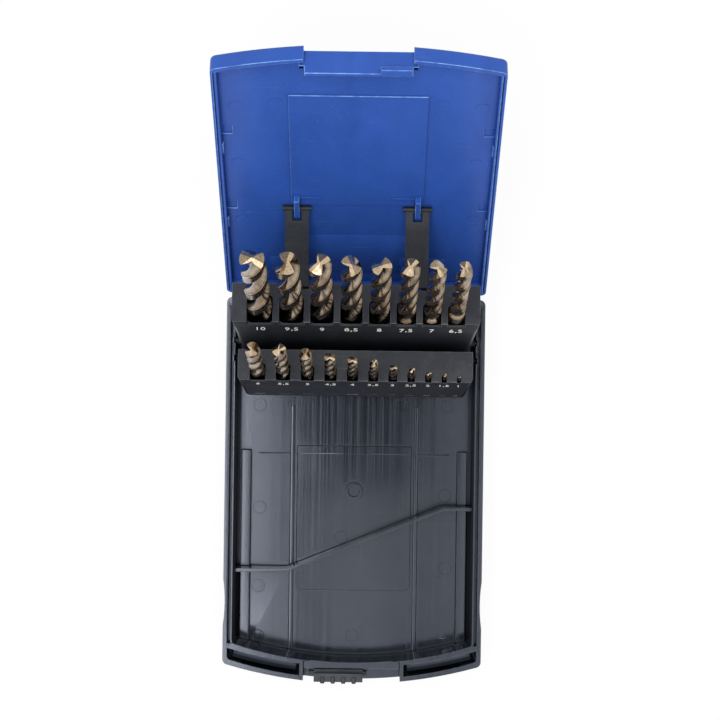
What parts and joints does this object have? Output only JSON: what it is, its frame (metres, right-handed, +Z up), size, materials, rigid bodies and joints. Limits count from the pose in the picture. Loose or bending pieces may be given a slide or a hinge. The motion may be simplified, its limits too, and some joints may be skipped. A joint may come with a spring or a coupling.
{
  "type": "drill bit case",
  "caption": "Hinged drill bit case with a deep tray, a shallow lid on link straps, tilting racks of graduated twist drills and a sliding latch.",
  "frame": {"origin": "on the underside of the tray, midway across and midway between the back face and the tip of the bowed front", "axes": "+X to the right across the case, +Y towards the lid hinge, +Z up"},
  "size_m": [0.11, 0.2529, 0.1734],
  "materials": {
    "tray_plastic": "semi-gloss moulded",
    "lid_plastic": "gloss moulded",
    "rack_plastic": "satin moulded",
    "strap_plastic": "satin moulded",
    "latch_plastic": "satin moulded",
    "drill_steel": "straw-tempered cobalt steel",
    "pin_steel": "drawn wire"
  },
  "bodies": {
    "tray": {"base_tray": "tray_plastic", "hinge_pins": "pin_steel"},
    "lid": {"lid_shell": "lid_plastic"},
    "upper_rack": {"upper_rack": "rack_plastic"},
    "lower_rack": {"lower_rack": "rack_plastic"},
    "strap_left": {"strap_left": "strap_plastic"},
    "strap_right": {"strap_right": "strap_plastic"},
    "latch": {"latch_slider": "latch_plastic"},
    "drill_10_0": {"drill_10_0": "drill_steel"},
    "drill_9_5": {"drill_9_5": "drill_steel"},
    "drill_9_0": {"drill_9_0": "drill_steel"},
    "drill_8_5": {"drill_8_5": "drill_steel"},
    "drill_8_0": {"drill_8_0": "drill_steel"},
    "drill_7_5": {"drill_7_5": "drill_steel"},
    "drill_7_0": {"drill_7_0": "drill_steel"},
    "drill_6_5": {"drill_6_5": "drill_steel"},
    "drill_6_0": {"drill_6_0": "drill_steel"},
    "drill_5_5": {"drill_5_5": "drill_steel"},
    "drill_5_0": {"drill_5_0": "drill_steel"},
    "drill_4_5": {"drill_4_5": "drill_steel"},
    "drill_4_0": {"drill_4_0": "drill_steel"},
    "drill_3_5": {"drill_3_5": "drill_steel"},
    "drill_3_0": {"drill_3_0": "drill_steel"},
    "drill_2_5": {"drill_2_5": "drill_steel"},
    "drill_2_0": {"drill_2_0": "drill_steel"},
    "drill_1_5": {"drill_1_5": "drill_steel"},
    "drill_1_0": {"drill_1_0": "drill_steel"}
  },
  "joints": [
    {"name": "lid_hinge", "type": "hinge", "parent": "tray", "child": "lid", "pos_m": [0, 0.083, 0.0315], "axis": [1, 0, 0], "range_deg": [0, 120]},
    {"name": "upper_rack_pivot", "type": "hinge", "parent": "tray", "child": "upper_rack", "pos_m": [0, 0.0636, 0.0225], "axis": [1, 0, 0], "range_deg": [0, 102.5]},
    {"name": "lower_rack_pivot", "type": "hinge", "parent": "tray", "child": "lower_rack", "pos_m": [0, 0.056, 0.0182], "axis": [1, 0, 0], "range_deg": [0, 99.5]},
    {"name": "strap_left_pivot", "type": "hinge", "parent": "lid", "child": "strap_left", "pos_m": [-0.0244, 0.11685, 0.08124], "axis": [1, 0, 0], "range_deg": [0, 41.7]},
    {"name": "strap_right_pivot", "type": "hinge", "parent": "lid", "child": "strap_right", "pos_m": [0.0244, 0.11685, 0.08124], "axis": [1, 0, 0], "range_deg": [0, 41.7]},
    {"name": "latch_slide", "type": "slide", "parent": "tray", "child": "latch", "axis": [1, 0, 0], "range_m": [0, 0.0134]},
    {"name": "drill_10_0_lift", "type": "slide", "parent": "upper_rack", "child": "drill_10_0", "axis": [0, -0.2164, -0.9763], "range_m": [-0.058, 0]},
    {"name": "drill_9_5_lift", "type": "slide", "parent": "upper_rack", "child": "drill_9_5", "axis": [0, -0.2164, -0.9763], "range_m": [-0.055, 0]},
    {"name": "drill_9_0_lift", "type": "slide", "parent": "upper_rack", "child": "drill_9_0", "axis": [0, -0.2164, -0.9763], "range_m": [-0.055, 0]},
    {"name": "drill_8_5_lift", "type": "slide", "parent": "upper_rack", "child": "drill_8_5", "axis": [0, -0.2164, -0.9763], "range_m": [-0.047, 0]},
    {"name": "drill_8_0_lift", "type": "slide", "parent": "upper_rack", "child": "drill_8_0", "axis": [0, -0.2164, -0.9763], "range_m": [-0.047, 0]},
    {"name": "drill_7_5_lift", "type": "slide", "parent": "upper_rack", "child": "drill_7_5", "axis": [0, -0.2164, -0.9763], "range_m": [-0.039, 0]},
    {"name": "drill_7_0_lift", "type": "slide", "parent": "upper_rack", "child": "drill_7_0", "axis": [0, -0.2164, -0.9763], "range_m": [-0.039, 0]},
    {"name": "drill_6_5_lift", "type": "slide", "parent": "upper_rack", "child": "drill_6_5", "axis": [0, -0.2164, -0.9763], "range_m": [-0.031, 0]},
    {"name": "drill_6_0_lift", "type": "slide", "parent": "lower_rack", "child": "drill_6_0", "axis": [0, -0.165, -0.9863], "range_m": [-0.042, 0]},
    {"name": "drill_5_5_lift", "type": "slide", "parent": "lower_rack", "child": "drill_5_5", "axis": [0, -0.165, -0.9863], "range_m": [-0.042, 0]},
    {"name": "drill_5_0_lift", "type": "slide", "parent": "lower_rack", "child": "drill_5_0", "axis": [0, -0.165, -0.9863], "range_m": [-0.042, 0]},
    {"name": "drill_4_5_lift", "type": "slide", "parent": "lower_rack", "child": "drill_4_5", "axis": [0, -0.165, -0.9863], "range_m": [-0.042, 0]},
    {"name": "drill_4_0_lift", "type": "slide", "parent": "lower_rack", "child": "drill_4_0", "axis": [0, -0.165, -0.9863], "range_m": [-0.042, 0]},
    {"name": "drill_3_5_lift", "type": "slide", "parent": "lower_rack", "child": "drill_3_5", "axis": [0, -0.165, -0.9863], "range_m": [-0.042, 0]},
    {"name": "drill_3_0_lift", "type": "slide", "parent": "lower_rack", "child": "drill_3_0", "axis": [0, -0.165, -0.9863], "range_m": [-0.042, 0]},
    {"name": "drill_2_5_lift", "type": "slide", "parent": "lower_rack", "child": "drill_2_5", "axis": [0, -0.165, -0.9863], "range_m": [-0.042, 0]},
    {"name": "drill_2_0_lift", "type": "slide", "parent": "lower_rack", "child": "drill_2_0", "axis": [0, -0.165, -0.9863], "range_m": [-0.041, 0]},
    {"name": "drill_1_5_lift", "type": "slide", "parent": "lower_rack", "child": "drill_1_5", "axis": [0, -0.165, -0.9863], "range_m": [-0.034, 0]},
    {"name": "drill_1_0_lift", "type": "slide", "parent": "lower_rack", "child": "drill_1_0", "axis": [0, -0.165, -0.9863], "range_m": [-0.031, 0]}
  ],
  "couplings": [
    {"joint": "upper_rack_pivot", "follows": "lid_hinge", "ratio": 0.85417},
    {"joint": "lower_rack_pivot", "follows": "lid_hinge", "ratio": 0.82917},
    {"joint": "strap_left_pivot", "follows": "lid_hinge", "ratio": 0.3475},
    {"joint": "strap_right_pivot", "follows": "lid_hinge", "ratio": 0.3475}
  ]
}
